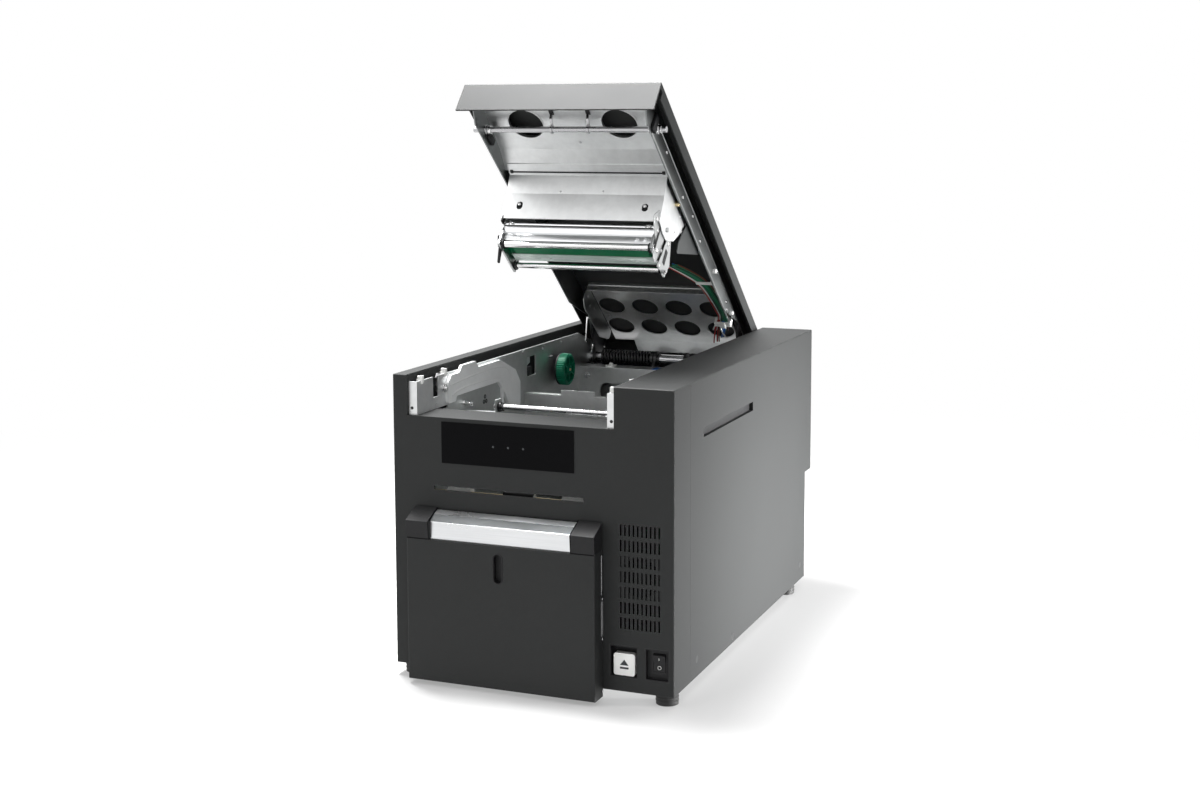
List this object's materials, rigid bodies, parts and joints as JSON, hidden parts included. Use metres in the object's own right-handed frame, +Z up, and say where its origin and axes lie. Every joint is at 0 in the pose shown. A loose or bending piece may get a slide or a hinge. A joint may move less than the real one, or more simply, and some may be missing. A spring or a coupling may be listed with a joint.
{
  "type": "card printer with hinged cover",
  "caption": "Desktop card printer with its hinged cover raised over the print bay, a pull-out card drawer, front vents, rocker switch and open button.",
  "frame": {"origin": "centre of the bounding box, on the plane that the feet stand on", "axes": "+X to the right seen from the front, +Y from the front panel to the back, +Z up"},
  "size_m": [0.28, 0.4998, 0.5597],
  "materials": {
    "shell_paint": "fine textured powder coat",
    "sheet_steel": "zinc plated sheet",
    "bright_aluminium": "brushed and clear anodised",
    "chromed": "ground and chromed",
    "turned_steel": "turned",
    "brass_shaft": "turned",
    "black_plastic": "moulded",
    "black_gloss": "glossy lens",
    "white_plastic": "moulded",
    "pale_guard": "milky moulded",
    "green_plastic": "moulded",
    "green_board": "lacquered board",
    "black_rubber": "moulded",
    "white_rubber": "ground",
    "wire_cover": "extruded",
    "black_steel": "black finish"
  },
  "bodies": {
    "chassis": {"base_pan": "sheet_steel", "front_panel": "shell_paint", "left_side_panel": "shell_paint", "right_side_cover": "shell_paint", "rear_panel": "shell_paint", "display_window": "black_gloss", "left_frame_plate": "sheet_steel", "right_frame_plate": "sheet_steel", "left_catch_bracket": "sheet_steel", "right_catch_bracket": "sheet_steel", "latch_guide_pins": "white_plastic", "ribbon_guard": "pale_guard", "front_cross_plate": "sheet_steel", "rear_cross_box": "sheet_steel", "guide_shaft": "chromed", "shaft_bearings": "black_plastic", "hinge_shaft": "turned_steel", "torsion_spring": "black_steel", "hinge_brackets": "black_steel", "feet": "black_rubber", "cover_screws": "black_steel", "switch_bezel": "black_plastic", "button_housing": "black_plastic", "power_supply": "sheet_steel", "main_board": "green_board", "feed_motor": "black_steel", "drive_belt": "black_rubber", "fan_frame": "black_plastic", "mains_inlet": "black_plastic", "drawer_runners": "sheet_steel"},
    "cover": {"lid_cover": "shell_paint", "lid_side_plates": "sheet_steel", "lid_crossmember": "sheet_steel", "lid_rear_plate": "sheet_steel", "latch_shaft": "turned_steel", "lid_arms": "black_steel", "head_bracket": "sheet_steel", "lid_harness": "wire_cover"},
    "head": {"head_bar": "bright_aluminium", "print_head": "green_board", "head_side_plates": "sheet_steel", "peel_shaft": "chromed"},
    "head_roller": {"pinch_roller": "chromed"},
    "left_hook": {"left_latch_hook": "turned_steel"},
    "right_hook": {"right_latch_hook": "turned_steel"},
    "drawer": {"drawer_front": "shell_paint", "drawer_tray": "sheet_steel", "drawer_handle": "bright_aluminium", "drawer_end_blocks": "black_plastic"},
    "button": {"push_button": "white_plastic"},
    "rocker": {"power_rocker": "black_plastic"},
    "platen": {"platen_roller": "black_rubber", "platen_shaft": "turned_steel"},
    "motor_drive": {"motor_pulley": "turned_steel"},
    "exit_roll": {"exit_rollers": "white_rubber", "exit_shaft": "brass_shaft"},
    "pick_roll": {"pick_roller": "black_rubber"},
    "ribbon_hub": {"ribbon_knob": "green_plastic", "ribbon_spindle": "black_plastic"},
    "fan": {"fan_rotor": "black_plastic"}
  },
  "joints": [
    {"name": "cover_hinge", "type": "hinge", "parent": "chassis", "child": "cover", "pos_m": [0, 0.20447, 0.251], "axis": [1, 0, 0], "range_deg": [0, 40.34]},
    {"name": "head_pivot", "type": "hinge", "parent": "cover", "child": "head", "pos_m": [-0.0214, -0.03904, 0.4166], "axis": [1, 0, 0], "range_deg": [-3, 3], "stiffness_Nm_per_rad": 30},
    {"name": "head_roller_spin", "type": "hinge", "parent": "head", "child": "head_roller", "pos_m": [-0.0214, -0.0661, 0.40049], "axis": [1, 0, 0], "continuous": true},
    {"name": "left_catch", "type": "hinge", "parent": "chassis", "child": "left_hook", "pos_m": [-0.1194, -0.16934, 0.2681], "axis": [1, 0, 0], "range_deg": [0, 38]},
    {"name": "right_catch", "type": "hinge", "parent": "chassis", "child": "right_hook", "pos_m": [0.078, -0.16934, 0.2681], "axis": [1, 0, 0], "range_deg": [0, 38]},
    {"name": "drawer_slide", "type": "slide", "parent": "chassis", "child": "drawer", "axis": [0, -1, 0], "range_m": [0, 0.1]},
    {"name": "open_button", "type": "slide", "parent": "chassis", "child": "button", "axis": [0, 1, 0], "range_m": [0, 0.002], "stiffness_N_per_m": 400, "springref_m": -0.001},
    {"name": "power_switch", "type": "hinge", "parent": "chassis", "child": "rocker", "pos_m": [0.12545, -0.22314, 0.04135], "axis": [1, 0, 0], "range_deg": [-16, 0]},
    {"name": "platen_spin", "type": "hinge", "parent": "chassis", "child": "platen", "pos_m": [-0.0214, -0.07834, 0.1719], "axis": [1, 0, 0], "continuous": true},
    {"name": "motor_spin", "type": "hinge", "parent": "chassis", "child": "motor_drive", "pos_m": [-0.1255, -0.02334, 0.0816], "axis": [1, 0, 0], "continuous": true},
    {"name": "exit_spin", "type": "hinge", "parent": "chassis", "child": "exit_roll", "pos_m": [-0.0214, -0.21583, 0.1774], "axis": [1, 0, 0], "continuous": true},
    {"name": "pick_spin", "type": "hinge", "parent": "chassis", "child": "pick_roll", "pos_m": [-0.0214, -0.13534, 0.0282], "axis": [1, 0, 0], "continuous": true},
    {"name": "ribbon_spin", "type": "hinge", "parent": "chassis", "child": "ribbon_hub", "pos_m": [-0.105, 0.10076, 0.2499], "axis": [1, 0, 0], "continuous": true},
    {"name": "fan_spin", "type": "hinge", "parent": "chassis", "child": "fan", "pos_m": [0.1075, -0.21633, 0.1176], "axis": [0, 1, 0], "continuous": true}
  ],
  "couplings": [
    {"joint": "right_catch", "follows": "left_catch", "ratio": 1},
    {"joint": "motor_spin", "follows": "platen_spin", "ratio": 1}
  ]
}
